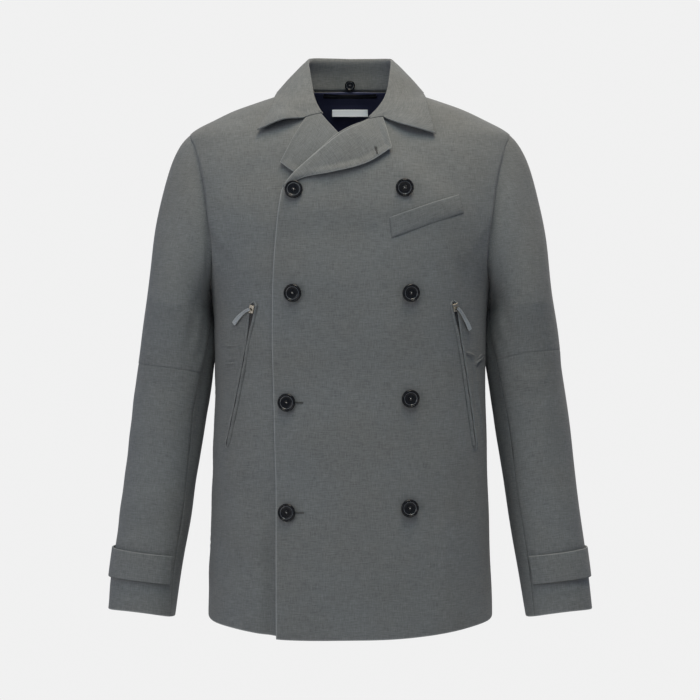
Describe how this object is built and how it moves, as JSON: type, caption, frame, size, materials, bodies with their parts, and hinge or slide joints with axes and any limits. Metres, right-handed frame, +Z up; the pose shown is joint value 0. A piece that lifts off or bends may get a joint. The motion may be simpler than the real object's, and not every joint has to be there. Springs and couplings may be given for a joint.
{
  "type": "double-breasted coat",
  "caption": "Short double-breasted coat with notched collar and lapels, cuff tabs, slanted zip pockets and a breast welt, filled out as worn and hollow.",
  "frame": {"origin": "midway between the points where the left and right shoulder seams meet the neck", "axes": "+Z up towards the collar, -Y out of the front, +X towards the wearer's left"},
  "size_m": [0.673, 0.2677, 0.8068],
  "materials": {
    "shell_cloth": "matt plain weave with fine slubs",
    "lining_cloth": "smooth, faint sheen",
    "button_black": "polished",
    "zip_metal": "dark gunmetal plating",
    "pull_rubber": "matt",
    "label_cloth": "matt, bare"
  },
  "bodies": {
    "coat": {"back": "shell_cloth", "button_left_1": "button_black", "button_left_2": "button_black", "button_left_3": "button_black", "button_left_4": "button_black", "button_neck": "button_black", "button_right_1": "button_black", "button_right_2": "button_black", "button_right_3": "button_black", "button_right_4": "button_black", "collar": "shell_cloth", "cuff_tab_left": "shell_cloth", "cuff_tab_right": "shell_cloth", "front_left": "shell_cloth", "front_right": "shell_cloth", "hang_loop": "lining_cloth", "lapel_left": "shell_cloth", "lapel_right": "shell_cloth", "lining_back": "lining_cloth", "neck_label": "label_cloth", "sleeve_forearm_left": "shell_cloth", "sleeve_forearm_right": "shell_cloth", "sleeve_under_left": "shell_cloth", "sleeve_under_right": "shell_cloth", "sleeve_upper_left": "shell_cloth", "sleeve_upper_right": "shell_cloth", "welt_pocket": "shell_cloth", "zip_left": "zip_metal", "zip_right": "zip_metal", "zip_slider_left": "zip_metal", "zip_slider_right": "zip_metal"},
    "pull_left": {"zip_pull_left": "pull_rubber"},
    "pull_right": {"zip_pull_right": "pull_rubber"}
  },
  "joints": [
    {"name": "pull_left_swing", "type": "hinge", "parent": "coat", "child": "pull_left", "pos_m": [0.14461, -0.11106, -0.29877], "axis": [-0.6306, -0.3427, -0.6964], "range_deg": [0, 150]},
    {"name": "pull_right_swing", "type": "hinge", "parent": "coat", "child": "pull_right", "pos_m": [-0.13463, -0.11461, -0.30078], "axis": [-0.4599, 0.1902, 0.8673], "range_deg": [0, 150]}
  ]
}
